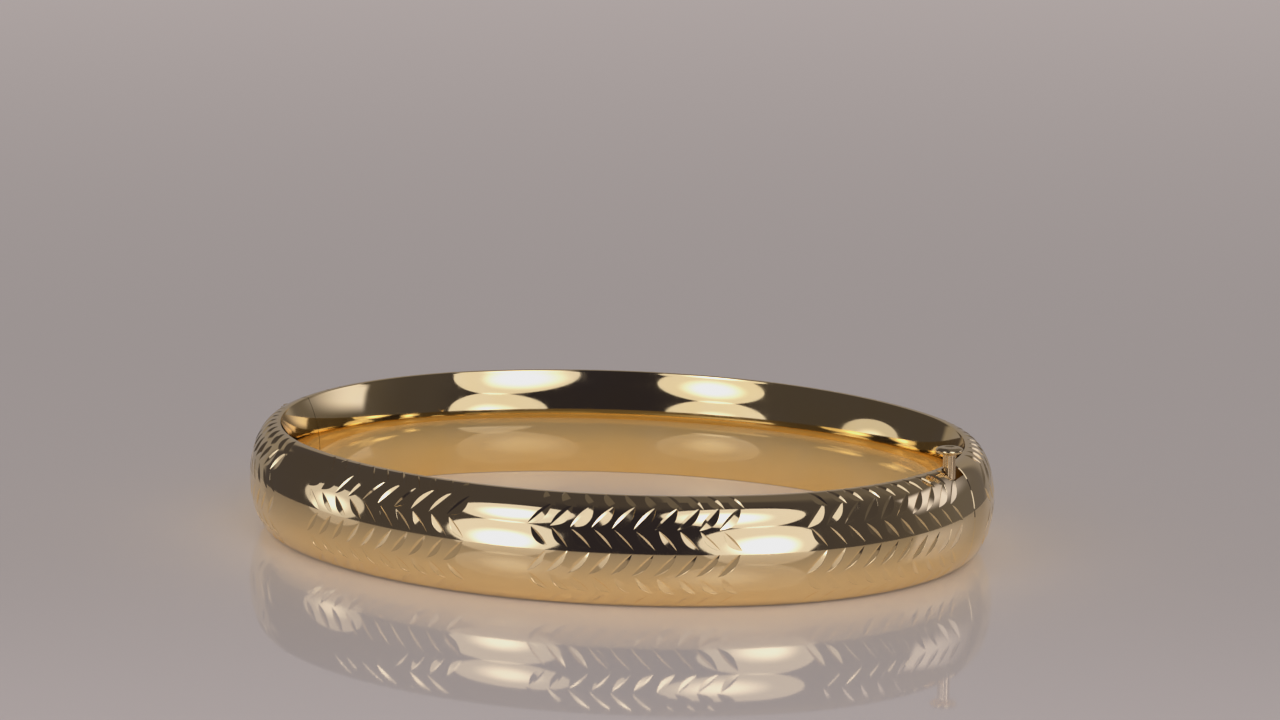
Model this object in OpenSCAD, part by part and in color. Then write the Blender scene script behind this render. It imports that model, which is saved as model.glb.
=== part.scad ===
// Hinged oval bangle bracelet: two hollow half bands, a three-knuckle hinge and a push-button tongue clasp.
// Millimetres. +Z is up through the wrist opening, +X points at the clasp, -X at the hinge.
// The front half lies at -Y, the back half at +Y, and the bangle rests flat on z = 0.

/* [Band] */
// Half the long axis of the oval, measured to the thin rim of the band
rim_a = 31; // [30:0.5:33]
// Radius of the arcs at the hinge and the clasp
end_r = 23.8; // [23:0.2:24.4]
// Width of the band, which is its height when it lies flat
band_h = 9.5; // [9:0.1:10.5]
// How far the domed outer shell stands out from the rim
dome_rise = 2.4; // [2.3:0.1:2.8]
// Depth of the flat rim of the inner lining
rim_flat = 0.25; // [0.2:0.01:0.28]
// How far the inner lining bows in towards the wrist
lining_bow = 1.2; // [0.8:0.05:1.3]
// Thickness of the gold sheet
sheet_t = 0.3; // [0.25:0.01:0.35]
// Thickness of the plates that close the four ends
plate_t = 0.45; // [0.35:0.05:0.6]
// Gap between the two halves when the bangle is shut
seam_gap = 0.08; // [0.06:0.01:0.12]

/* [Hinge] */
// Radius of the hinge knuckles
knuckle_r = 0.75; // [0.65:0.05:0.8]
// Length of one hinge knuckle
knuckle_len = 2.4; // [2:0.1:2.5]
// Gap between neighbouring knuckles
knuckle_gap = 0.1; // [0.05:0.01:0.15]
// Radius of the hinge pin
pin_r = 0.33; // [0.25:0.01:0.36]
// Radius of the room cut in the shells round the knuckles
relief_r = 0.95; // [0.92:0.01:1]

/* [Clasp] */
// Length of the tongue from the seam to the middle of its fold
tongue_len = 5; // [4.5:0.1:5.2]
// Width of the tongue at the seam
tongue_w = 1.8; // [1.6:0.1:1.9]
// Width of the tongue at its fold
fold_w = 1.1; // [0.9:0.1:1.2]
// Thickness of each leaf of the tongue
leaf_t = 0.3; // [0.25:0.01:0.33]
// Angle of the spring leaf above the base leaf
leaf_angle = 14; // [12:1:16]
// How far the tongue's middle stands out from the rim
tongue_out = 0.7; // [0.6:0.05:0.75]
// Depth of the free end of the leaf behind the catch
catch_depth = 0.48; // [0.4:0.01:0.5]

/* [Push button] */
// Distance of the button's stem from the seam
stem_back = 2; // [1.9:0.1:2.4]
// How far the stem's axis lies outside the rim line
stem_out = 0.66; // [0.6:0.02:0.8]
// Diameter of the stem
stem_d = 1.15; // [0.8:0.05:1.2]
// Diameter of the cap
cap_d = 2.4; // [2:0.1:2.6]
// Thickness of the cap
cap_t = 0.55; // [0.5:0.05:0.7]
// Height of the cap's underside above the band
cap_lift = 1.4; // [1.4:0.05:2]

/* [Hidden] */
$fn = 96;

gold = [0.86, 0.68, 0.38];
lining_gold = [0.83, 0.62, 0.28];
clasp_gold = [0.88, 0.72, 0.46];

// The oval is four arcs that meet tangentially: one at each end and one along each side.
// Their centres are the corners of 3-4-5 triangles, so the arcs meet in exact directions.
end_x = rim_a - end_r;
side_y = end_x * 4 / 3;
side_r = end_r + end_x * 5 / 3;
end_span = atan2(4, 3);
seam_angle = asin(seam_gap / 2 / end_r);
past_middle = 3;

// Steps along the curves of the section
dome_steps = 20;
lining_steps = 12;
mid_z = band_h / 2;
bow_r = (mid_z * mid_z + lining_bow * lining_bow) / (2 * lining_bow);

// Hinge: the pin stands where the knuckles are flush with the top of the dome.
pin_x = -(rim_a + dome_rise - knuckle_r);
pin_play = 0.03;
pin_head_r = 0.52;
pin_head_t = 0.22;
web_reach = 1.5;
barrel_z = mid_z - knuckle_len * 1.5 - knuckle_gap;

// Clasp heights
fold_r = 0.35;
fold_z = 4;
leaf_play = 0.03;
leaf_len = 4.3;
base_z = fold_z - fold_r;
root_len = 1.4;
guide_drop = 0.15;
mouth_side = 0.28;
slit_w = 1.4;
leaf_top_z = fold_z + leaf_len * sin(leaf_angle) + leaf_t * cos(leaf_angle);
mouth_top_z = leaf_top_z - catch_depth;
mouth_base_z = base_z - guide_drop;
tongue_x = rim_a + tongue_out;
stem_x = rim_a + stem_out;
slot_r = 0.66;
slot_floor_z = 6.4;
cap_z = band_h + cap_lift;
cap_edge_r = 0.25;
dimple_r = 0.75;
dimple_depth = 0.12;

// Distance of the lining's wrist side from the rim line at height z
function bow(z) = rim_flat + sqrt(bow_r * bow_r - (z - mid_z) * (z - mid_z)) - (bow_r - lining_bow);

// Heights at which the lining and the hollow share their points
function lining_heights() = [for (i = [0:lining_steps]) sheet_t + (band_h - 2 * sheet_t) * i / lining_steps];

// Points of a half ellipse with the given rise and half height, from the bottom up
function dome_curve(rise, half) =
    [for (i = [0:dome_steps]) let (t = -90 + 180 * i / dome_steps) [rise * cos(t), mid_z + half * sin(t)]];

// Points on the hollow side of the lining, from the bottom up
function hollow_side() = [for (z = lining_heights()) [min(0, sheet_t - bow(z)), z]];

function reversed(list) = [for (i = [len(list) - 1:-1:0]) list[i]];

// Section of the domed outer shell; x is the distance out from the rim line
module shell_section() {
    outer = dome_curve(dome_rise, mid_z);
    inner = dome_curve(dome_rise - sheet_t, mid_z - sheet_t);
    polygon(concat(outer, reversed(inner)));
}

// Section of the inner lining
module lining_section() {
    wrist = [for (z = concat([0], lining_heights(), [band_h])) [-bow(z), z]];
    polygon(concat(wrist, [[0, band_h]], reversed(hollow_side()), [[0, 0]]));
}

// Section of the hollow between the shell and the lining
module hollow_section() {
    polygon(concat(dome_curve(dome_rise - sheet_t, mid_z - sheet_t), reversed(hollow_side())));
}

// Sweeps a section round one end arc, from the angle start through the angle span
module end_arc(side, start, span) {
    translate([side * end_x, 0, 0])
        rotate([0, 0, start])
            rotate_extrude(angle = span)
                translate([end_r, 0]) children();
}

// Sweeps a section along the front half of the oval on the clasp side, a little past the middle
module quarter_sweep() {
    end_arc(1, -end_span, end_span - seam_angle) children();
    mirror([1, 0, 0])
        translate([0, side_y, 0])
            rotate([0, 0, end_span - 180])
                rotate_extrude(angle = 90 - end_span + past_middle)
                    translate([side_r, 0]) children();
}

// Sweeps a section along the front half of the oval, from seam to seam
module front_half_sweep() {
    quarter_sweep() children();
    mirror([1, 0, 0]) quarter_sweep() children();
}

module back_half_sweep() {
    mirror([0, 1, 0]) front_half_sweep() children();
}

// Plate in the hollow at the clasp end of the front half
module clasp_plate() {
    span = plate_t / end_r * 180 / PI;
    end_arc(1, -seam_angle - span, span) hollow_section();
}

// Plate in the hollow at the hinge end of the front half, cut away round the knuckles
module hinge_plate() {
    span = plate_t / end_r * 180 / PI;
    difference() {
        end_arc(-1, 180 + seam_angle, span) hollow_section();
        hinge_relief();
    }
}

// Room for the knuckles, over the whole width of the band
module hinge_relief() {
    translate([pin_x, 0, -1]) cylinder(r = relief_r, h = band_h + 2);
}

// Web that ties a knuckle to the plate of the front half
module knuckle_web(z) {
    translate([pin_x, -seam_gap / 2 - plate_t * 0.8, z])
        cube([web_reach, plate_t * 0.8, knuckle_len]);
}

// One knuckle with its web on the front side; row counts up from the bottom
function knuckle_z(row) = barrel_z + row * (knuckle_len + knuckle_gap);

module knuckle(row) {
    difference() {
        union() {
            translate([pin_x, 0, knuckle_z(row)]) cylinder(r = knuckle_r, h = knuckle_len);
            knuckle_web(knuckle_z(row));
        }
        translate([pin_x, 0, knuckle_z(row) - 1]) cylinder(r = pin_r + pin_play, h = knuckle_len + 2);
    }
}

// Outline of the tongue from above, between two distances from the seam
module tongue_outline(from_y, to_y) {
    w0 = tongue_w + (fold_w - tongue_w) * max(0, -from_y) / tongue_len;
    w1 = tongue_w + (fold_w - tongue_w) * max(0, -to_y) / tongue_len;
    polygon([[tongue_x - w0 / 2, from_y], [tongue_x + w0 / 2, from_y],
             [tongue_x + w1 / 2, to_y], [tongue_x - w1 / 2, to_y]]);
}

// Root of the tongue, which passes through the back half's plate
module tongue_root() {
    translate([tongue_x - tongue_w / 2, 0, base_z]) cube([tongue_w, root_len, leaf_t]);
}

// Room for the stem in the top of the front shell, open to the seam
module stem_slot() {
    translate([stem_x, -stem_back, slot_floor_z]) cylinder(r = slot_r, h = band_h);
    translate([stem_x - slot_r, -stem_back, slot_floor_z]) cube([2 * slot_r, stem_back + 1, band_h]);
}

module back_outer_shell() {
    color(gold) difference() {
        back_half_sweep() shell_section();
        hinge_relief();
    }
}

module back_inner_lining() {
    color(lining_gold) back_half_sweep() lining_section();
}

module back_clasp_end_plate() {
    color(gold) difference() {
        mirror([0, 1, 0]) clasp_plate();
        tongue_root();
    }
}

module back_hinge_end_plate() {
    color(gold) difference() {
        mirror([0, 1, 0]) hinge_plate();
        mirror([0, 1, 0]) knuckle_web(knuckle_z(0));
        mirror([0, 1, 0]) knuckle_web(knuckle_z(2));
    }
}

module upper_hinge_knuckle() {
    color(clasp_gold) mirror([0, 1, 0]) knuckle(2);
}

module lower_hinge_knuckle() {
    color(clasp_gold) mirror([0, 1, 0]) knuckle(0);
}

module hinge_pin() {
    pin_len = 3 * knuckle_len + 2 * knuckle_gap;
    color(clasp_gold) translate([pin_x, 0, barrel_z]) {
        cylinder(r = pin_r, h = pin_len);
        translate([0, 0, -pin_head_t]) cylinder(r = pin_head_r, h = pin_head_t);
        translate([0, 0, pin_len]) cylinder(r = pin_head_r, h = pin_head_t);
    }
}

module tongue_base_leaf() {
    color(clasp_gold) {
        translate([0, 0, base_z]) linear_extrude(leaf_t) tongue_outline(0, -tongue_len);
        tongue_root();
        translate([tongue_x - fold_w / 2, -tongue_len, fold_z])
            rotate([0, 90, 0]) cylinder(r = fold_r, h = fold_w);
    }
}

module front_outer_shell() {
    color(gold) difference() {
        front_half_sweep() shell_section();
        hinge_relief();
        stem_slot();
    }
}

module front_inner_lining() {
    color(lining_gold) front_half_sweep() lining_section();
}

module front_clasp_end_plate() {
    mouth_w = tongue_w + 2 * mouth_side;
    color(gold) difference() {
        clasp_plate();
        translate([tongue_x - mouth_w / 2, -1, mouth_base_z]) cube([mouth_w, 2, mouth_top_z - mouth_base_z]);
        translate([stem_x - slit_w / 2, -1, mouth_top_z - 0.1]) cube([slit_w, 2, band_h]);
    }
}

module front_hinge_end_plate() {
    color(gold) difference() {
        hinge_plate();
        knuckle_web(knuckle_z(1));
    }
}

module centre_hinge_knuckle() {
    color(clasp_gold) knuckle(1);
}

// Floor under the tongue, soldered between the shell and the lining
module catch_guide() {
    guide_span = 13;
    plate_span = plate_t / end_r * 180 / PI;
    color(gold) intersection() {
        end_arc(1, -seam_angle - plate_span - guide_span, guide_span) hollow_section();
        translate([rim_a - 5, -10, mouth_base_z - leaf_t]) cube([10, 10, leaf_t]);
    }
}

module tongue_spring_leaf() {
    color(clasp_gold) translate([0, -tongue_len, fold_z]) rotate([leaf_angle, 0, 0]) difference() {
        linear_extrude(leaf_t) translate([0, tongue_len]) tongue_outline(-tongue_len + leaf_len, -tongue_len);
        translate([tongue_x - fold_w, 0, 0]) rotate([0, 90, 0]) cylinder(r = fold_r + leaf_play, h = 2 * fold_w);
    }
}

module button_stem() {
    color(clasp_gold) difference() {
        translate([stem_x, -stem_back, fold_z]) cylinder(d = stem_d, h = cap_z - fold_z);
        translate([tongue_x, -tongue_len, fold_z]) rotate([leaf_angle, 0, 0])
            translate([-2, -1, leaf_t - 4]) cube([4, 7, 4]);
    }
}

// Round cap with a rounded edge and a shallow dimple on top
module button_cap() {
    edge = [for (t = [-90:15:90]) [cap_d / 2 - cap_edge_r + cap_edge_r * cos(t),
                                   cap_t / 2 + (cap_t / 2) * sin(t)]];
    dimple = [for (t = [0:15:90]) [dimple_r * cos(t), cap_t - dimple_depth * sin(t)]];
    color(clasp_gold) translate([stem_x, -stem_back, cap_z]) rotate_extrude()
        polygon(concat([[0, 0]], edge, dimple));
}

back_outer_shell();
back_inner_lining();
back_clasp_end_plate();
back_hinge_end_plate();
upper_hinge_knuckle();
lower_hinge_knuckle();
hinge_pin();
tongue_base_leaf();
front_outer_shell();
front_inner_lining();
front_clasp_end_plate();
front_hinge_end_plate();
centre_hinge_knuckle();
catch_guide();
tongue_spring_leaf();
button_stem();
button_cap();
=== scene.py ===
import math

import bmesh
import bpy
import numpy as np
from mathutils import Matrix, Vector


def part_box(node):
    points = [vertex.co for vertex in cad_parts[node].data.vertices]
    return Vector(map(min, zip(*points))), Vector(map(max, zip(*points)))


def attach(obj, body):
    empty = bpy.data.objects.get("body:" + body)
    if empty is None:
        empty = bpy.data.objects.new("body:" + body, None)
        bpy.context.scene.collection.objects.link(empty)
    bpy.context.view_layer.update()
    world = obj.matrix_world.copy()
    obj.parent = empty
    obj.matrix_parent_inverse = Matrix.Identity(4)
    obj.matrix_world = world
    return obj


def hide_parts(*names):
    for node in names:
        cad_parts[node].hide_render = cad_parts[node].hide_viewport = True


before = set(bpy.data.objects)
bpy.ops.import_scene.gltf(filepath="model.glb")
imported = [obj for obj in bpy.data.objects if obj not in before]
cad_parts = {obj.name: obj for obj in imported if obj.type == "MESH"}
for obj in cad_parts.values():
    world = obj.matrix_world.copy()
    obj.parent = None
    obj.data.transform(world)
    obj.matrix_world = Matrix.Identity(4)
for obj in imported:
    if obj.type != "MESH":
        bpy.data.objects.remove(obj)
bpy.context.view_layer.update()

# Units: lengths are metres, angles radians. MM turns a length in millimetres into metres.
MM = 0.001

# --- The bangle's driving sizes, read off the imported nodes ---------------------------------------


def rounded(length):
    """A CAD length without its meshing noise, to 0.02 mm."""
    return round(length / (0.02 * MM)) * 0.02 * MM


SHELL_LOW, SHELL_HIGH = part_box("back_outer_shell")
LINING_LOW, LINING_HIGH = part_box("back_inner_lining")
BAND_H = rounded(SHELL_HIGH.z - SHELL_LOW.z)
MID_Z = BAND_H / 2
RIM_A = rounded(LINING_HIGH.x)
RIM_B = rounded(LINING_HIGH.y)
DOME_RISE = rounded(SHELL_HIGH.y - LINING_HIGH.y)

# The plan oval is four arcs that meet on 3-4-5 triangles of side OVAL_UNIT.
OVAL_UNIT = (RIM_A - RIM_B) / 2
END_X = 3 * OVAL_UNIT
SIDE_Y = 4 * OVAL_UNIT
END_R = RIM_A - END_X
SIDE_R = RIM_B + SIDE_Y
ARC_SPLIT = 0.6

SHEET_T = 0.3 * MM
RIM_FLAT = 0.25 * MM
RIM_BEVEL = 0.07 * MM
LINING_BOW = 1.2 * MM
BOW_R = ((BAND_H / 2) ** 2 + LINING_BOW**2) / (2 * LINING_BOW)
SEAM_GAP = 0.08 * MM
SEAM_ANGLE = SEAM_GAP / 2 / (END_R + DOME_RISE / 2)

HALF_TURN = math.pi
FRONT_START = -math.pi
BACK_START = 0.0


def oval(turn, out):
    """Points of the plan oval moved outwards by out, where the outward normal has the angle turn."""
    c, s = np.cos(turn), np.sin(turn)
    at_end = np.abs(c) >= ARC_SPLIT
    radius = np.where(at_end, END_R, SIDE_R) + out
    x = np.where(at_end, np.sign(c) * END_X, 0.0) + radius * c
    y = np.where(at_end, 0.0, -np.sign(s) * SIDE_Y) + radius * s
    return x, y


def turn_of(x, y):
    """The angle of the oval's outward normal through each point, and how far out the point lies."""
    end_x = x - np.sign(x) * END_X
    end_turn = np.arctan2(y, end_x)
    at_end = (np.abs(np.cos(end_turn)) >= ARC_SPLIT) & (end_x * np.sign(x) > 0)
    side_y = y + np.sign(y) * SIDE_Y
    turn = np.where(at_end, end_turn, np.arctan2(side_y, x))
    end_out = np.hypot(end_x, y) - END_R
    side_out = np.hypot(x, side_y) - SIDE_R
    return turn, np.where(at_end, end_out, side_out)


def dome_point(turn, rise_angle, rise=DOME_RISE, half_h=BAND_H / 2):
    """Points of the half-elliptical dome; rise_angle runs from the bottom rim to the top rim."""
    x, y = oval(turn, rise * np.cos(rise_angle))
    z = MID_Z + half_h * np.sin(rise_angle)
    return np.stack([x, y, z + 0 * x], -1)


def dome_normal(turn, rise_angle):
    """Outward unit normals of the outer dome."""
    flat = np.cos(rise_angle) / DOME_RISE
    n = np.stack([flat * np.cos(turn), flat * np.sin(turn), np.sin(rise_angle) / MID_Z + 0 * turn], -1)
    return n / np.linalg.norm(n, axis=-1, keepdims=True)


def lining_in(z):
    """How far inside the rim line the polished wrist side of the lining lies at height z."""
    return RIM_FLAT + np.sqrt(BOW_R**2 - (z - MID_Z) ** 2) - (BOW_R - LINING_BOW)


# --- Mesh helpers --------------------------------------------------------------------------------


def new_object(name, verts, faces, face_slots=None):
    mesh = bpy.data.meshes.new(name)
    mesh.from_pydata([tuple(v) for v in verts], [], faces)
    if face_slots is not None:
        mesh.polygons.foreach_set("material_index", face_slots)
    mesh.validate()
    obj = bpy.data.objects.new(name, mesh)
    bpy.context.scene.collection.objects.link(obj)
    return obj


def swept_ring(name, sections, slots, eased=None):
    """A solid from closed section loops, one row of points per station, with flat ends.
    slots gives each section edge's material slot, and eased those of the first and last strips.
    The ends take the last slot."""
    stations, count, _ = sections.shape
    verts = sections.reshape(-1, 3)
    faces, face_slots = [], []
    for i in range(stations - 1):
        strip_slots = eased if eased and i in (0, stations - 2) else slots
        for j in range(count):
            k = (j + 1) % count
            faces.append((i * count + j, i * count + k, (i + 1) * count + k, (i + 1) * count + j))
            face_slots.append(strip_slots[j])
    faces.append(tuple(range(count - 1, -1, -1)))
    faces.append(tuple((stations - 1) * count + j for j in range(count)))
    face_slots += [slots[-1], slots[-1]]
    return new_object(name, verts, faces, face_slots)


def fix_winding(obj):
    bm = bmesh.new()
    bm.from_mesh(obj.data)
    bmesh.ops.recalc_face_normals(bm, faces=bm.faces)
    bm.to_mesh(obj.data)
    bm.free()


def lathe(name, profile, centre, segments=64, ridges=0, ridge_depth=0.0):
    """A solid of revolution about a vertical axis; profile is (radius, z) from the bottom axis to the top."""
    turn = np.linspace(0, 2 * np.pi, segments, endpoint=False)
    wave = 1 - ridge_depth * (0.5 + 0.5 * np.cos(ridges * turn))
    verts = [(centre[0], centre[1], profile[0][1])]
    for radius, z in profile[1:-1]:
        for a, w in zip(turn, wave):
            verts.append((centre[0] + radius * w * math.cos(a), centre[1] + radius * w * math.sin(a), z))
    verts.append((centre[0], centre[1], profile[-1][1]))
    faces = []
    rings = len(profile) - 2
    for j in range(segments):
        k = (j + 1) % segments
        faces.append((0, 1 + k, 1 + j))
        for i in range(rings - 1):
            a, b = 1 + i * segments, 1 + (i + 1) * segments
            faces.append((a + j, a + k, b + k, b + j))
        last = 1 + (rings - 1) * segments
        faces.append((last + j, last + k, len(verts) - 1))
    return new_object(name, verts, faces)


def cut(obj, tool):
    """Takes tool away from obj for good, and removes the tool."""
    modifier = obj.modifiers.new("cut", "BOOLEAN")
    modifier.operation = "DIFFERENCE"
    modifier.object = tool
    modifier.solver = "MANIFOLD"
    graph = bpy.context.evaluated_depsgraph_get()
    result = bpy.data.meshes.new_from_object(obj.evaluated_get(graph))
    obj.modifiers.clear()
    old = obj.data
    obj.data = result
    result.name = obj.name
    bpy.data.meshes.remove(old)
    bpy.data.objects.remove(tool)


def smooth(obj, sharp_angle=35):
    obj.data.shade_smooth()
    obj.data.set_sharp_from_angle(angle=math.radians(sharp_angle))


# --- The engraved outer shells -------------------------------------------------------------------

DOME_SLOT, STEEP_SLOT, BROAD_SLOT, LIP_SLOT, INSIDE_SLOT = range(5)

SHELL_STATIONS = 261
DOME_STEPS = 44
HOLLOW_STEPS = 16
EDGE_EASE = 0.07 * MM


def eased_turns(start):
    """Station angles from seam to seam, with a narrow first and last step for the eased edge."""
    first, last = start + SEAM_ANGLE, start + HALF_TURN - SEAM_ANGLE
    step = EDGE_EASE / (END_R + DOME_RISE)
    return np.concatenate([[first], np.linspace(first + step, last - step, SHELL_STATIONS), [last]])


def shell_blank(name, start):
    """Half of the hollow outer shell, uncut, with its seam edges eased."""
    turns = eased_turns(start)
    outer = np.linspace(-np.pi / 2, np.pi / 2, DOME_STEPS + 1)
    inner = np.linspace(np.pi / 2, -np.pi / 2, HOLLOW_STEPS + 1)
    rows = []
    for turn in turns:
        ease = EDGE_EASE if turn in (turns[0], turns[-1]) else 0
        out_side = dome_point(np.full(outer.shape, turn), outer, DOME_RISE - ease, BAND_H / 2 - ease)
        in_side = dome_point(np.full(inner.shape, turn), inner, DOME_RISE - SHEET_T, BAND_H / 2 - SHEET_T)
        rows.append(np.concatenate([out_side, in_side]))
    slots = [DOME_SLOT] * DOME_STEPS + [INSIDE_SLOT] * (HOLLOW_STEPS + 2)
    eased = [LIP_SLOT] * DOME_STEPS + slots[DOME_STEPS:]
    blank = swept_ring(name, np.array(rows), slots, eased)
    fix_winding(blank)
    return blank


# Distance tables: along the dome's widest line from a half's first seam, and down the section.
FINE_TURN = np.linspace(0, HALF_TURN, 4001)
FINE_X, FINE_Y = oval(FINE_TURN, DOME_RISE)
ALONG = np.concatenate([[0], np.cumsum(np.hypot(np.diff(FINE_X), np.diff(FINE_Y)))])
FINE_RISE = np.linspace(np.pi / 2, -np.pi / 2, 2001)
SECTION_OUT = DOME_RISE * np.cos(FINE_RISE)
SECTION_Z = MID_Z * np.sin(FINE_RISE)
DOWN = np.concatenate([[0], np.cumsum(np.hypot(np.diff(SECTION_OUT), np.diff(SECTION_Z)))])

GROUPS = 4
COLUMNS = 10
COLUMN_PITCH = 1.83 * MM
GROUP_PITCH = 24.1 * MM
FIRST_GROUP = {"front_half": 4.7 * MM, "back_half": 3.6 * MM}

# One column's six strokes in mm: left end, right end, depth, and the two slopes of the cut (the
# steep side's as run over rise). An end is (along, down): "along" is from the column's apex and
# "down" is from the top rim over the dome. Each depth is about the sagitta of the dome under the
# stroke, so that the facets come out nearly flat.
COLUMN_STROKES = [
    ((0.72, 0.06), (2.05, 1.80), 0.120, 1.7, 0.140),
    ((0.00, 3.58), (1.92, 1.58), 0.110, 2.5, 0.155),
    ((0.05, 3.68), (1.66, 5.32), 0.080, 2.2, 0.135),
    ((-0.15, 7.60), (1.74, 5.58), 0.078, 2.5, 0.160),
    ((-0.08, 7.72), (1.55, 9.25), 0.080, 2.2, 0.130),
    ((-0.15, 10.85), (1.42, 9.40), 0.120, 2.5, 0.150),
]

STROKE_STATIONS = 11
STROKE_END = 0.97
LIP_DEPTH = 0.016 * MM
LIP_RUN = 1.2
TOOL_LIFT = 0.05 * MM
KEEL_SHIFT = 0.15 * MM
TOOL_SLOTS = [STEEP_SLOT, BROAD_SLOT, LIP_SLOT, LIP_SLOT]


def stroke_tool(start, left, right, depth, steep_run, broad_slope):
    """The points of one graver cut's tool: rows of four-cornered sections along the stroke."""
    t = np.linspace(-STROKE_END, STROKE_END, STROKE_STATIONS)
    share = (t + 1) / 2
    along = left[0] + (right[0] - left[0]) * share
    down = left[1] + (right[1] - left[1]) * share
    turn = start + np.interp(along, ALONG, FINE_TURN)
    rise = np.interp(down, DOWN, FINE_RISE)
    point = dome_point(turn, rise)
    normal = dome_normal(turn, rise)
    forward = np.gradient(point, axis=0)
    forward -= (forward * normal).sum(-1, keepdims=True) * normal
    forward /= np.linalg.norm(forward, axis=-1, keepdims=True)
    aside = np.cross(normal, forward)
    keel = depth * (1 - t**2)
    lip = np.minimum(LIP_DEPTH, 0.25 * keel)
    lip_aside = -(keel - lip) / broad_slope
    corners = [
        (steep_run * (keel + TOOL_LIFT), TOOL_LIFT + 0 * keel),
        (0 * keel, -keel),
        (lip_aside, -lip),
        (lip_aside - LIP_RUN * (lip + TOOL_LIFT), TOOL_LIFT + 0 * keel),
    ]
    rows = [point + (KEEL_SHIFT + b)[:, None] * aside + n[:, None] * normal for b, n in corners]
    return np.stack(rows, 1)


def join_tools(name, tools):
    """One mesh object from many stroke tools."""
    verts, faces, slots = [], [], []
    for rows in tools:
        base = len(verts)
        count = rows.shape[1]
        verts.extend(rows.reshape(-1, 3))
        for i in range(rows.shape[0] - 1):
            for j in range(count):
                k = (j + 1) % count
                a, b = base + i * count, base + (i + 1) * count
                faces.append((a + j, a + k, b + k, b + j))
                slots.append(TOOL_SLOTS[j])
        last = base + (rows.shape[0] - 1) * count
        faces.append(tuple(base + j for j in range(count - 1, -1, -1)))
        faces.append(tuple(last + j for j in range(count)))
        slots += [LIP_SLOT, LIP_SLOT]
    obj = new_object(name, verts, faces, slots)
    fix_winding(obj)
    return obj


def engraving_tools(body, start, rng):
    """Two tool meshes: neighbouring rows touch at their tips, so every other row is cut at a time."""
    rows = [[], []]
    for group in range(GROUPS):
        for column in range(COLUMNS):
            apex = FIRST_GROUP[body] + group * GROUP_PITCH + column * COLUMN_PITCH
            for row, (left, right, depth, steep, broad) in enumerate(COLUMN_STROKES):
                slip = rng.normal(0, 0.05 * MM, 4)
                heavy, lean, turned = np.clip(rng.normal(0, 1, 3), -2, 2)
                a = (apex + left[0] * MM + slip[0], left[1] * MM + 0.6 * slip[1])
                b = (apex + right[0] * MM + slip[2], right[1] * MM + 0.6 * slip[3])
                deep = depth * MM * (1 + 0.1 * heavy)
                steep = steep * (1 + 0.2 * lean)
                broad = broad * (1 + 0.13 * turned)
                rows[row % 2].append(stroke_tool(start, a, b, deep, steep, broad))
    return [join_tools(f"{body}_tool_{i}", tools) for i, tools in enumerate(rows)]


def cylinder_tool(name, x, y, radius, low, high, segments=96):
    profile = [(0, low), (radius, low), (radius, high), (0, high)]
    tool = lathe(name, profile, (x, y), segments)
    tool.data.polygons.foreach_set("material_index", [INSIDE_SLOT] * len(tool.data.polygons))
    return tool


def box_tool(name, low, high):
    corners = [(x, y, z) for x in (low[0], high[0]) for y in (low[1], high[1]) for z in (low[2], high[2])]
    faces = [(0, 1, 3, 2), (4, 6, 7, 5), (0, 4, 5, 1), (2, 3, 7, 6), (0, 2, 6, 4), (1, 5, 7, 3)]
    tool = new_object(name, corners, faces, [INSIDE_SLOT] * 6)
    fix_winding(tool)
    return tool


def read(items, name, kind, width=1):
    """One property of every item in a mesh collection, as an array."""
    values = np.zeros(len(items) * width, kind)
    items.foreach_get(name, values)
    return values


def sharpen_between_slots(mesh, loop_slot):
    """Marks every edge sharp whose faces have different material slots."""
    edge_of_loop = read(mesh.loops, "edge_index", np.int32)
    low = np.full(len(mesh.edges), 99)
    high = np.full(len(mesh.edges), -1)
    np.minimum.at(low, edge_of_loop, loop_slot)
    np.maximum.at(high, edge_of_loop, loop_slot)
    sharp = read(mesh.edges, "use_edge_sharp", bool)
    mesh.edges.foreach_set("use_edge_sharp", sharp | (low != high))


def set_shell_normals(obj):
    """Exact dome normals on the dome, smooth cut facets, and sharp edges everywhere between them."""
    mesh = obj.data
    smooth(obj, 40)
    slots = read(mesh.polygons, "material_index", np.int32)
    loop_slot = np.repeat(slots, read(mesh.polygons, "loop_total", np.int32))
    sharpen_between_slots(mesh, loop_slot)
    normals = read(mesh.corner_normals, "vector", np.float32, 3).reshape(-1, 3)
    corners = read(mesh.vertices, "co", np.float64, 3).reshape(-1, 3)
    on_dome = loop_slot == DOME_SLOT
    p = corners[read(mesh.loops, "vertex_index", np.int32)[on_dome]]
    turn, out = turn_of(p[:, 0], p[:, 1])
    rise = np.arctan2((p[:, 2] - MID_Z) / MID_Z, np.maximum(out, 0) / DOME_RISE)
    normals[on_dome] = dome_normal(turn, rise)
    mesh.normals_split_custom_set([tuple(n) for n in normals])


PIN_LOW, PIN_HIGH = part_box("hinge_pin")
HINGE_X = (PIN_LOW.x + PIN_HIGH.x) / 2
RELIEF_R = 0.95 * MM
CAP_LOW, CAP_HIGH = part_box("button_cap")
BUTTON_X = (CAP_LOW.x + CAP_HIGH.x) / 2
BUTTON_Y = (CAP_LOW.y + CAP_HIGH.y) / 2
STEM_SLOT_R = 0.66 * MM
STEM_SLOT_FLOOR = 6.4 * MM


# The materials of the shell's slots, in the slots' order.
SHELL_FINISHES = ("polished_gold", "cut_edge_gold", "bright_cut_gold", "cut_edge_gold", "unpolished_gold_painted_glow")


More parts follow.
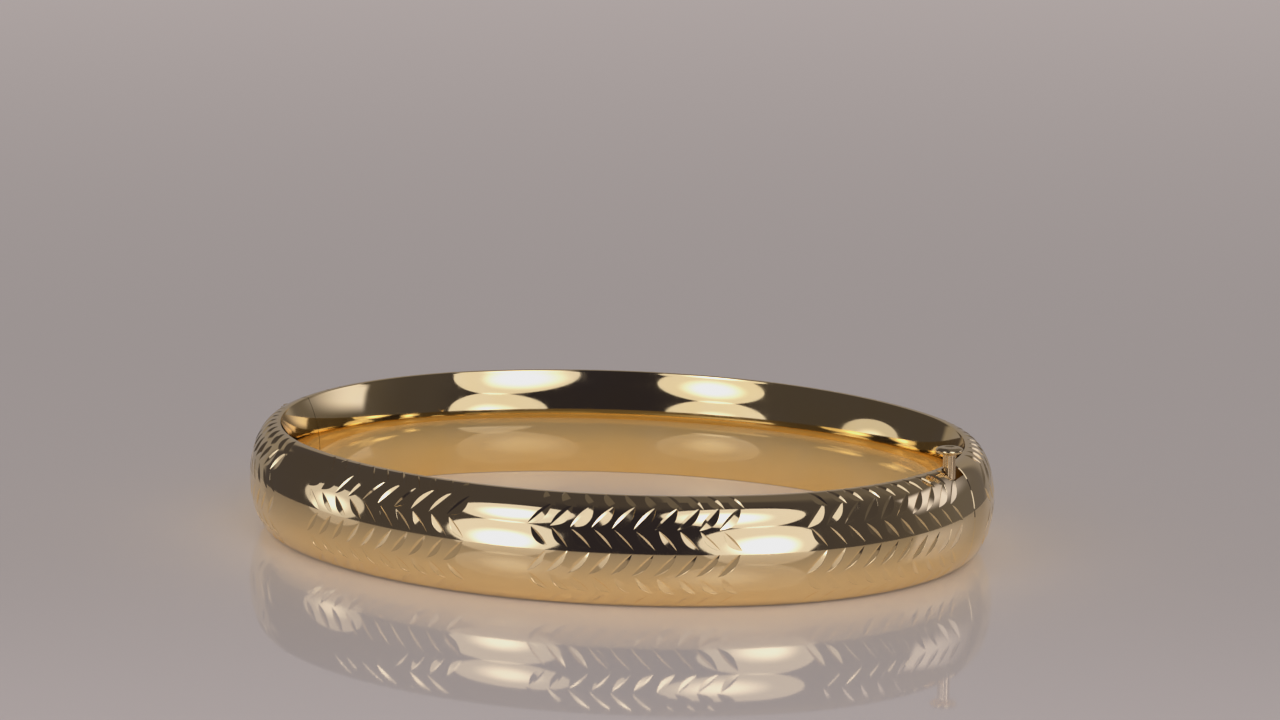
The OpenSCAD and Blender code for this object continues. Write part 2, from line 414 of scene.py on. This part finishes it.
def build_shell(body, start, rng, gold):
    name = body.replace("half", "outer_shell")
    shell = shell_blank(name + "_engraved", start)
    for tool in engraving_tools(body, start, rng):
        cut(shell, tool)
    cut(shell, cylinder_tool("relief", HINGE_X, 0, RELIEF_R, -MM, BAND_H + MM))
    if body == "front_half":
        top = BAND_H + MM
        cut(shell, cylinder_tool("notch", BUTTON_X, BUTTON_Y, STEM_SLOT_R, STEM_SLOT_FLOOR, top))
        low = (BUTTON_X - STEM_SLOT_R, BUTTON_Y, STEM_SLOT_FLOOR)
        high = (BUTTON_X + STEM_SLOT_R, SEAM_GAP, top)
        cut(shell, box_tool("notch_mouth", low, high))
    set_shell_normals(shell)
    shell.data.materials.clear()
    for finish in SHELL_FINISHES:
        shell.data.materials.append(gold[finish])
    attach(shell, body)
    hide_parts(name)
    return shell


# --- The linings ---------------------------------------------------------------------------------

WRIST_STEPS = 64
EASE_STEPS = 4


def lining_section():
    """The closed section of a lining half as (out, z) points, wrist side first, with eased rim corners."""
    z = np.linspace(RIM_BEVEL, BAND_H - RIM_BEVEL, WRIST_STEPS + 1)
    wrist = [(-lining_in(h), h) for h in z]
    angles = np.linspace(0, np.pi / 2, EASE_STEPS + 1)[1:]
    top = []
    for a in angles:
        edge_out = -lining_in(BAND_H - RIM_BEVEL) + RIM_BEVEL * (1 - math.cos(a))
        top.append((edge_out, BAND_H - RIM_BEVEL + RIM_BEVEL * math.sin(a)))
    top += [(0.0, BAND_H), (0.0, BAND_H - SHEET_T)]
    back_z = np.linspace(BAND_H - SHEET_T, SHEET_T, 33)[1:-1]
    hollow = [(min(0.0, SHEET_T - lining_in(h)), h) for h in back_z]
    bottom = [(out, BAND_H - h) for out, h in reversed(top)]
    return np.array(wrist + top + hollow + bottom)


def build_lining(body, start, gold, inside):
    name = body.replace("half", "inner_lining")
    section = lining_section()
    turns = np.linspace(start + SEAM_ANGLE, start + HALF_TURN - SEAM_ANGLE, SHELL_STATIONS)
    rows = []
    for turn in turns:
        x, y = oval(np.full(len(section), turn), section[:, 0])
        rows.append(np.stack([x, y, section[:, 1]], -1))
    wrist_edges = WRIST_STEPS + EASE_STEPS
    hollow_edges = len(section) - wrist_edges - EASE_STEPS - 2
    slots = [0] * wrist_edges + [0] + [1] * hollow_edges + [0] * (EASE_STEPS + 1)
    lining = swept_ring(name + "_polished", np.array(rows), slots)
    fix_winding(lining)
    smooth(lining)
    lining.data.materials.append(gold)
    lining.data.materials.append(inside)
    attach(lining, body)
    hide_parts(name)
    return lining


# --- The push button -----------------------------------------------------------------------------

CAP_EDGE_WIDTH = 0.5 * MM
DIMPLE_R = 0.55 * MM
DIMPLE_DEPTH = 0.07 * MM


def build_cap(gold):
    """A lens-shaped thumb cap with a shallow dimple on top."""
    radius = (CAP_HIGH.x - CAP_LOW.x) / 2
    low, high = CAP_LOW.z, CAP_HIGH.z
    profile = [(0, low)]
    for angle in np.radians(np.linspace(-90, 90, 25)):
        r = radius - CAP_EDGE_WIDTH * (1 - math.cos(angle))
        profile.append((r, (low + high) / 2 + (high - low) / 2 * math.sin(angle)))
    ball_r = (DIMPLE_R**2 + DIMPLE_DEPTH**2) / (2 * DIMPLE_DEPTH)
    for share in np.linspace(1, 0.1, 9):
        r = DIMPLE_R * share
        profile.append((r, high - DIMPLE_DEPTH + ball_r - math.sqrt(ball_r**2 - r**2)))
    profile.append((0, high - DIMPLE_DEPTH))
    cap = lathe("button_cap_turned", profile, (BUTTON_X, BUTTON_Y), 96)
    smooth(cap, 30)
    cap.data.materials.append(gold)
    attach(cap, "push_button")
    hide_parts("button_cap")


STEM_RIDGES = 16
RIDGE_SHARE = 0.05
STEM_FLARE = 0.12 * MM
FLARE_HEIGHT = 0.22 * MM


def build_stem(gold):
    """The button's stem, drawn metal with fine lengthwise ridges, a little wider under the cap."""
    low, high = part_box("button_stem")
    radius = (high.x - low.x) / 2
    top = high.z
    foot = low.z + 0.1 * MM
    shank = radius - 0.02 * MM
    profile = [(0, foot), (shank, foot), (shank, top - FLARE_HEIGHT)]
    profile += [(radius, top - 0.1 * MM), (radius + STEM_FLARE, top), (0, top)]
    stem = lathe("button_stem_drawn", profile, (BUTTON_X, BUTTON_Y), 96, STEM_RIDGES, RIDGE_SHARE)
    smooth(stem, 30)
    stem.data.materials.append(gold)
    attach(stem, "push_button")
    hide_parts("button_stem")


# --- Materials -----------------------------------------------------------------------------------


def noise(nodes, links, coords, scale, detail=2.0, stretch=(1, 1, 1)):
    mapping = nodes.new("ShaderNodeMapping")
    mapping.inputs["Scale"].default_value = stretch
    texture = nodes.new("ShaderNodeTexNoise")
    texture.inputs["Scale"].default_value = scale
    texture.inputs["Detail"].default_value = detail
    links.new(coords.outputs["Object"], mapping.inputs["Vector"])
    links.new(mapping.outputs["Vector"], texture.inputs["Vector"])
    return texture


DRIFT_SCALE = 160
WEAR_SCALE = 900
RIPPLE_SCALE = 110
HAIR_SCALE = 2500
HAIR_STRETCH = (1, 1, 0.12)


def gold_material(name, pale, deep, smoothest, roughest, ripple, grain):
    """Polished gold: colour drifts between pale and deep, roughness between two values,
    and the surface has a slow hand-polished ripple and fine hairlines."""
    material = bpy.data.materials.new(name)
    material.use_nodes = True
    nodes, links = material.node_tree.nodes, material.node_tree.links
    shader = nodes["Principled BSDF"]
    shader.inputs["Metallic"].default_value = 1.0
    coords = nodes.new("ShaderNodeTexCoord")
    drift = noise(nodes, links, coords, DRIFT_SCALE)
    colour = nodes.new("ShaderNodeMix")
    colour.data_type = "RGBA"
    colour.inputs["A"].default_value = (*pale, 1)
    colour.inputs["B"].default_value = (*deep, 1)
    links.new(drift.outputs["Fac"], colour.inputs["Factor"])
    links.new(colour.outputs["Result"], shader.inputs["Base Color"])
    wear = noise(nodes, links, coords, WEAR_SCALE, 4.0)
    rough = nodes.new("ShaderNodeMapRange")
    rough.inputs["From Min"].default_value = 0.35
    rough.inputs["From Max"].default_value = 0.7
    rough.inputs["To Min"].default_value = smoothest
    rough.inputs["To Max"].default_value = roughest
    links.new(wear.outputs["Fac"], rough.inputs["Value"])
    links.new(rough.outputs["Result"], shader.inputs["Roughness"])
    slow = noise(nodes, links, coords, RIPPLE_SCALE, 1.0)
    ripple_bump = nodes.new("ShaderNodeBump")
    ripple_bump.inputs["Strength"].default_value = 1.0
    ripple_bump.inputs["Distance"].default_value = ripple
    links.new(slow.outputs["Fac"], ripple_bump.inputs["Height"])
    hair = noise(nodes, links, coords, HAIR_SCALE, 3.0, HAIR_STRETCH)
    hair_bump = nodes.new("ShaderNodeBump")
    hair_bump.inputs["Strength"].default_value = 1.0
    hair_bump.inputs["Distance"].default_value = grain
    links.new(hair.outputs["Fac"], hair_bump.inputs["Height"])
    links.new(ripple_bump.outputs["Normal"], hair_bump.inputs["Normal"])
    links.new(hair_bump.outputs["Normal"], shader.inputs["Normal"])
    return material


def add_painted_glow(material, colour, strength):
    """Painted light: a faint glow of the material's own, though it is no lamp."""
    shader = material.node_tree.nodes["Principled BSDF"]
    shader.inputs["Emission Color"].default_value = (*colour, 1)
    shader.inputs["Emission Strength"].default_value = strength


# --- Studio --------------------------------------------------------------------------------------

CAMERA_AZIMUTH = math.radians(23.62)
CAMERA_DISTANCE = 0.5667
CAMERA_HEIGHT = 0.1274
CAMERA_PAN = math.radians(0.158)
CAMERA_TILT = math.radians(11.14)
CAMERA_ROLL = math.radians(0.884)
SENSOR_MM = 36
LENS_MM = 184.9


def from_camera(azimuth, elevation):
    """Unit direction; azimuth in degrees from the camera's side of the bangle, positive to its right."""
    a = math.radians(azimuth) + CAMERA_AZIMUTH
    e = math.radians(elevation)
    return Vector((math.sin(a) * math.cos(e), -math.cos(a) * math.cos(e), math.sin(e)))


def add_camera():
    data = bpy.data.cameras.new("camera")
    data.sensor_width = SENSOR_MM
    data.lens = LENS_MM
    data.clip_start = 0.01
    camera = bpy.data.objects.new("camera", data)
    bpy.context.scene.collection.objects.link(camera)
    heading = CAMERA_AZIMUTH - CAMERA_PAN
    level = Vector((-math.sin(heading), math.cos(heading), 0))
    ahead = level * math.cos(CAMERA_TILT) - Vector((0, 0, math.sin(CAMERA_TILT)))
    right = Vector((math.cos(heading), math.sin(heading), 0))
    up = right.cross(ahead)
    side = right * math.cos(CAMERA_ROLL) + up * math.sin(CAMERA_ROLL)
    top = up * math.cos(CAMERA_ROLL) - right * math.sin(CAMERA_ROLL)
    place = from_camera(0, 0) * CAMERA_DISTANCE + Vector((0, 0, CAMERA_HEIGHT))
    turn = Matrix((side, top, -ahead)).transposed()
    camera.matrix_world = Matrix.Translation(place) @ turn.to_4x4()
    bpy.context.scene.camera = camera


LAMP_DISTANCE = 1.2
LAMP_TINT = (1.0, 1.0, 1.2, 1)
CORE_INNER = 0.06
CORE_OUTER = 0.36

# Each lamp: azimuth, elevation and radius in degrees, where its core lies (in shares of the radius),
# and its brightness at the edge and in the core.
LAMPS = {
    "left_low_lamp": (-42, 2, 16, (0.0, -0.3), 0.82, 3.0),
    "left_high_lamp": (-43, 31, 15, (0.0, -0.1), 0.82, 2.6),
    "right_low_lamp": (28, 2.5, 19, (0.0, -0.25), 0.82, 3.0),
    "right_high_lamp": (24, 39, 19, (-0.25, -0.1), 0.82, 2.6),
    "left_side_lamp": (-97, 2.5, 12, (0.0, -0.2), 0.6, 1.6),
}


def add_lamp(name, azimuth, elevation, radius, core, edge_value, core_value):
    """A round diffuser: even at its edge and brighter towards its core."""
    data = bpy.data.lights.new(name, "AREA")
    data.shape = "DISK"
    data.size = 2 * LAMP_DISTANCE * math.tan(math.radians(radius))
    data.energy = data.size**2 / 4 * math.pi**2
    data.use_nodes = True
    nodes, links = data.node_tree.nodes, data.node_tree.links
    emission = nodes["Emission"]
    emission.inputs["Color"].default_value = LAMP_TINT
    place = nodes.new("ShaderNodeNewGeometry")
    offset = nodes.new("ShaderNodeVectorMath")
    offset.operation = "DISTANCE"
    offset.inputs[1].default_value = (0.5 + core[0] / 2, 0.5 + core[1] / 2, 0)
    links.new(place.outputs["Parametric"], offset.inputs[0])
    ramp = nodes.new("ShaderNodeMapRange")
    ramp.interpolation_type = "SMOOTHSTEP"
    ramp.inputs["From Min"].default_value = CORE_INNER
    ramp.inputs["From Max"].default_value = CORE_OUTER
    ramp.inputs["To Min"].default_value = core_value
    ramp.inputs["To Max"].default_value = edge_value
    links.new(offset.outputs["Value"], ramp.inputs["Value"])
    links.new(ramp.outputs["Result"], emission.inputs["Strength"])
    lamp = bpy.data.objects.new(name, data)
    bpy.context.scene.collection.objects.link(lamp)
    direction = from_camera(azimuth, elevation)
    lamp.location = direction * LAMP_DISTANCE
    lamp.rotation_euler = direction.to_track_quat("Z", "Y").to_euler()
    lamp.visible_camera = False
    return lamp


FLOOR_COLOUR = (0.55, 0.495, 0.47)
# Painted light: the floor glows faintly warm though it is no lamp, lifting the shade on it.
FLOOR_PAINTED_GLOW = (1.0, 0.88, 0.83)
FLOOR_PAINTED_GLOW_STRENGTH = 0.06

# Painted light on the floor: its colour gets paler towards the camera and far behind the bangle, standing in
# for how the light falls there.
# Each entry gives the depths behind the bangle's centre between which that painted light sets in, and its
# size.
NEAR_PAINTED_LIGHT = ((0.0, -0.09), 0.3)
FAR_PAINTED_LIGHT = ((0.06, 0.62), 1.45)


def floor_material():
    """Pale glossy acrylic with painted light: its colour is brighter towards the camera and far behind the
    bangle, and it has a faint painted glow.
    """
    material = bpy.data.materials.new("pale_acrylic_painted_light")
    material.use_nodes = True
    nodes, links = material.node_tree.nodes, material.node_tree.links
    shader = nodes["Principled BSDF"]
    n = Nodes(material.node_tree)
    place = nodes.new("ShaderNodeNewGeometry")
    # Painted light: the floor's colour is raised near the camera and far behind the bangle.
    depth = n.dot(place.outputs["Position"], -from_camera(0, 0))
    near = n.math("MULTIPLY", n.step(depth, *NEAR_PAINTED_LIGHT[0]), NEAR_PAINTED_LIGHT[1])
    far = n.math("MULTIPLY", n.step(depth, *FAR_PAINTED_LIGHT[0]), FAR_PAINTED_LIGHT[1])
    painted_light_gain = n.math("ADD", n.math("ADD", near, far), 1.0)
    links.new(n.scale(FLOOR_COLOUR, painted_light_gain), shader.inputs["Base Color"])
    add_painted_glow(material, FLOOR_PAINTED_GLOW, FLOOR_PAINTED_GLOW_STRENGTH)
    shader.inputs["Roughness"].default_value = 0.035
    shader.inputs["IOR"].default_value = 1.5
    return material


def flat_sheet(name, outline, inner=None):
    """A level sheet at z = 0, whole or with a hole whose outline has as many points."""
    count = len(outline)
    if inner is None:
        verts = [(0, 0, 0)] + [(x, y, 0) for x, y in outline]
        faces = [(0, 1 + i, 1 + (i + 1) % count) for i in range(count)]
    else:
        verts = [(x, y, 0) for x, y in inner] + [(x, y, 0) for x, y in outline]
        faces = [(i, count + i, count + (i + 1) % count, (i + 1) % count) for i in range(count)]
    return new_object(name, verts, faces)


FLOOR_DROP = 0.02 * MM


def add_floor():
    turns = np.linspace(-math.pi, math.pi, 180, endpoint=False)
    near = list(zip(*oval(turns, 30 * MM)))
    far = [(4 * math.cos(a), 4 * math.sin(a)) for a in turns]
    material = floor_material()
    near_floor = flat_sheet("floor_near", near)
    far_floor = flat_sheet("floor_far", far, near)
    for sheet in (near_floor, far_floor):
        sheet.location.z = -FLOOR_DROP
        sheet.data.materials.append(material)
    far_floor.visible_glossy = False
    far_floor.visible_diffuse = False
    far_floor.visible_shadow = False


class Nodes:
    """A short way to write sums in a node tree."""

    def __init__(self, tree):
        self.tree = tree

    def math(self, operation, a, b=None):
        node = self.tree.nodes.new("ShaderNodeMath")
        node.operation = operation
        for socket, value in zip(node.inputs, (a, b)):
            if value is None:
                continue
            if isinstance(value, (int, float)):
                socket.default_value = value
            else:
                self.tree.links.new(value, socket)
        return node.outputs[0]

    def mix(self, share, a, colour):
        """a where share is 0, the plain colour where it is 1."""
        node = self.tree.nodes.new("ShaderNodeMix")
        node.data_type = "RGBA"
        node.inputs["B"].default_value = (*colour, 1)
        self.tree.links.new(share, node.inputs["Factor"])
        self.tree.links.new(a, node.inputs["A"])
        return node.outputs["Result"]

    def dot(self, vector, direction):
        node = self.tree.nodes.new("ShaderNodeVectorMath")
        node.operation = "DOT_PRODUCT"
        self.tree.links.new(vector, node.inputs[0])
        node.inputs[1].default_value = tuple(direction)
        return node.outputs["Value"]

    def scale(self, colour, amount):
        node = self.tree.nodes.new("ShaderNodeVectorMath")
        node.operation = "SCALE"
        node.inputs[0].default_value = colour
        self.tree.links.new(amount, node.inputs["Scale"])
        return node.outputs[0]

    def add(self, vector, other):
        """The sum of a vector and another one or a constant."""
        node = self.tree.nodes.new("ShaderNodeVectorMath")
        self.tree.links.new(vector, node.inputs[0])
        if isinstance(other, tuple):
            node.inputs[1].default_value = other
        else:
            self.tree.links.new(other, node.inputs[1])
        return node.outputs[0]

    def step(self, value, low, high):
        """0 below low, 1 above high, smooth between; falls instead when low is above high."""
        node = self.tree.nodes.new("ShaderNodeMapRange")
        node.interpolation_type = "SMOOTHSTEP"
        self.tree.links.new(value, node.inputs["Value"])
        node.inputs["From Min"].default_value = min(low, high)
        node.inputs["From Max"].default_value = max(low, high)
        node.inputs["To Min"].default_value = 0.0 if low < high else 1.0
        node.inputs["To Max"].default_value = 1.0 if low < high else 0.0
        return node.outputs[0]


DARK_AHEAD = 0.024
DARK_ASIDE = 0.062
DARK_RIGHT = 0.13
BACKDROP = 0.27
SOFT_ROOM = 0.38
GLOW = 2.1
BLUE_SHADE = 0.016
WINDOW = (0.80, 0.82, 1.15)
ROOM_TINT = (1.0, 0.92, 0.87)
SOFT_TINT = (1.0, 0.95, 0.92)
SEEN_ROOM = (0.41, 0.365, 0.35)

# Where each part of the surround sets in and is complete, in degrees. Azimuth 0 is the camera's
# side and grows to its right.
ASIDE_SPAN = (20, 60)
OVERHEAD_SPAN = (45, 70)
RIGHT_SPAN = (65, 125)
BACKDROP_LEFT = (-137, -142)
BACKDROP_RIGHT = (145, 153)
BACKDROP_TOP = (27, 22)
WINDOW_NEAR = (91, 95)
WINDOW_FAR = (142, 100)
WINDOW_BOTTOM = (5, 16)
WINDOW_TOP = (31, 25)


def add_world():
    """A dim studio: darkest behind the camera, a low grey backdrop behind the bangle and a soft
    window on its right. Light that has left a matt surface finds a brighter room, and brighter
    still off metal, which puts the gold's warm glow on the floor."""
    world = bpy.data.worlds.new("studio")
    bpy.context.scene.world = world
    world.use_nodes = True
    world.cycles.sampling_method = "NONE"
    tree = world.node_tree
    n = Nodes(tree)
    coords = tree.nodes.new("ShaderNodeTexCoord")
    split = tree.nodes.new("ShaderNodeSeparateXYZ")
    tree.links.new(coords.outputs["Generated"], split.inputs[0])
    z = split.outputs[2]
    toward = from_camera(0, 0)
    right = from_camera(90, 0)
    ahead = n.dot(coords.outputs["Generated"], toward)
    aside = n.dot(coords.outputs["Generated"], right)
    azimuth = n.math("MULTIPLY", n.math("ARCTAN2", aside, ahead), 180 / math.pi)
    elevation = n.math("MULTIPLY", n.math("ARCSINE", z), 180 / math.pi)
    away = n.math("ABSOLUTE", azimuth)
    wings = n.math("MAXIMUM", n.step(azimuth, *BACKDROP_LEFT), n.step(azimuth, *BACKDROP_RIGHT))
    behind = n.math("MULTIPLY", wings, n.step(elevation, *BACKDROP_TOP))
    aside_share = n.math("MAXIMUM", n.step(away, *ASIDE_SPAN), n.step(elevation, *OVERHEAD_SPAN))
    dark = n.math("ADD", DARK_AHEAD, n.math("MULTIPLY", aside_share, DARK_ASIDE - DARK_AHEAD))
    dark = n.math("ADD", dark, n.math("MULTIPLY", n.step(azimuth, *RIGHT_SPAN), DARK_RIGHT - DARK_ASIDE))
    unlit = n.math("MULTIPLY", dark, n.math("SUBTRACT", 1.0, behind))
    light = n.math("ADD", unlit, n.math("MULTIPLY", behind, BACKDROP))
    window = n.math("MULTIPLY", n.step(azimuth, *WINDOW_NEAR), n.step(azimuth, *WINDOW_FAR))
    window = n.math("MULTIPLY", window, n.step(elevation, *WINDOW_BOTTOM))
    window = n.math("MULTIPLY", window, n.step(elevation, *WINDOW_TOP))
    path = tree.nodes.new("ShaderNodeLightPath")
    bounced = n.math("GREATER_THAN", path.outputs["Diffuse Depth"], 0.5)
    glowing = n.math("MULTIPLY", bounced, path.outputs["Is Glossy Ray"])
    tinted = n.add(n.scale(ROOM_TINT, light), (0, 0, BLUE_SHADE))
    tinted = n.add(n.scale(WINDOW, window), tinted)
    room = n.mix(bounced, tinted, tuple(SOFT_ROOM * share for share in SOFT_TINT))
    room = n.mix(glowing, room, (GLOW, GLOW, GLOW))
    seen = n.mix(path.outputs["Is Camera Ray"], room, SEEN_ROOM)
    tree.links.new(seen, tree.nodes["Background"].inputs["Color"])


WHITEST = 0.835
TONE_POINTS = ((0.3, 0.3), (0.6, 0.59), (0.85, 0.785))


def set_view():
    """Plain colour, with whites that stop just short of full white."""
    view = bpy.context.scene.view_settings
    view.view_transform = "Standard"
    view.use_curve_mapping = True
    mapping = view.curve_mapping
    mapping.extend = "HORIZONTAL"
    shoulder = mapping.curves[3]
    shoulder.points[0].location = (0.0, 0.0)
    shoulder.points[1].location = (1.0, WHITEST)
    for level, shown in TONE_POINTS:
        shoulder.points.new(level, shown)
    mapping.update()


def add_studio():
    set_view()
    add_camera()
    add_world()
    add_floor()
    for name, lamp in LAMPS.items():
        add_lamp(name, *lamp)


# --- The bangle ----------------------------------------------------------------------------------

PALE_GOLD = (0.95, 0.755, 0.42)
DEEP_GOLD = (0.94, 0.705, 0.35)
# Deeper, more saturated gold on the lining: partly the gold's own colour, partly painted reflection standing
# in for the saturation its double reflections give.
RICH_GOLD_PAINTED_REFLECTION = (0.95, 0.69, 0.27)
WARM_GOLD = (0.95, 0.64, 0.36)


# Each finish: its palest and deepest gold, its smoothest and roughest roughness, and how deep its
# slow ripple and its hairlines are.
FINISHES = {
    "polished_gold": (PALE_GOLD, DEEP_GOLD, 0.035, 0.075, 0.0008 * MM, 0.00002 * MM),
    "bright_cut_gold": (PALE_GOLD, DEEP_GOLD, 0.05, 0.1, 0, 0.00006 * MM),
    "cut_edge_gold": (PALE_GOLD, DEEP_GOLD, 0.08, 0.14, 0, 0.00006 * MM),
    "lining_gold": (PALE_GOLD, RICH_GOLD_PAINTED_REFLECTION, 0.04, 0.08, 0.002 * MM, 0.00003 * MM),
    "brushed_gold": (PALE_GOLD, WARM_GOLD, 0.16, 0.3, 0, 0.0004 * MM),
    "fitting_gold": (PALE_GOLD, DEEP_GOLD, 0.12, 0.22, 0, 0.0002 * MM),
    "unpolished_gold_painted_glow": (PALE_GOLD, DEEP_GOLD, 0.3, 0.45, 0, 0.0004 * MM),
}
# Painted light: the unpolished gold of the hollow sides and cut walls glows faintly warm though it is no
# lamp, so the notch and hollows don't read black.
HOLLOW_PAINTED_GLOW = 0.03


def build_bangle():
    rng = np.random.default_rng(14)
    gold = {name: gold_material(name, *finish) for name, finish in FINISHES.items()}
    add_painted_glow(gold["unpolished_gold_painted_glow"], WARM_GOLD, HOLLOW_PAINTED_GLOW)
    for body, start in (("front_half", FRONT_START), ("back_half", BACK_START)):
        build_shell(body, start, rng, gold)
        build_lining(body, start, gold["lining_gold"], gold["unpolished_gold_painted_glow"])
    build_cap(gold["fitting_gold"])
    build_stem(gold["brushed_gold"])
    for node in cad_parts.values():
        if not node.hide_render:
            node.data.materials.clear()
            node.data.materials.append(gold["fitting_gold"])


build_bangle()
add_studio()
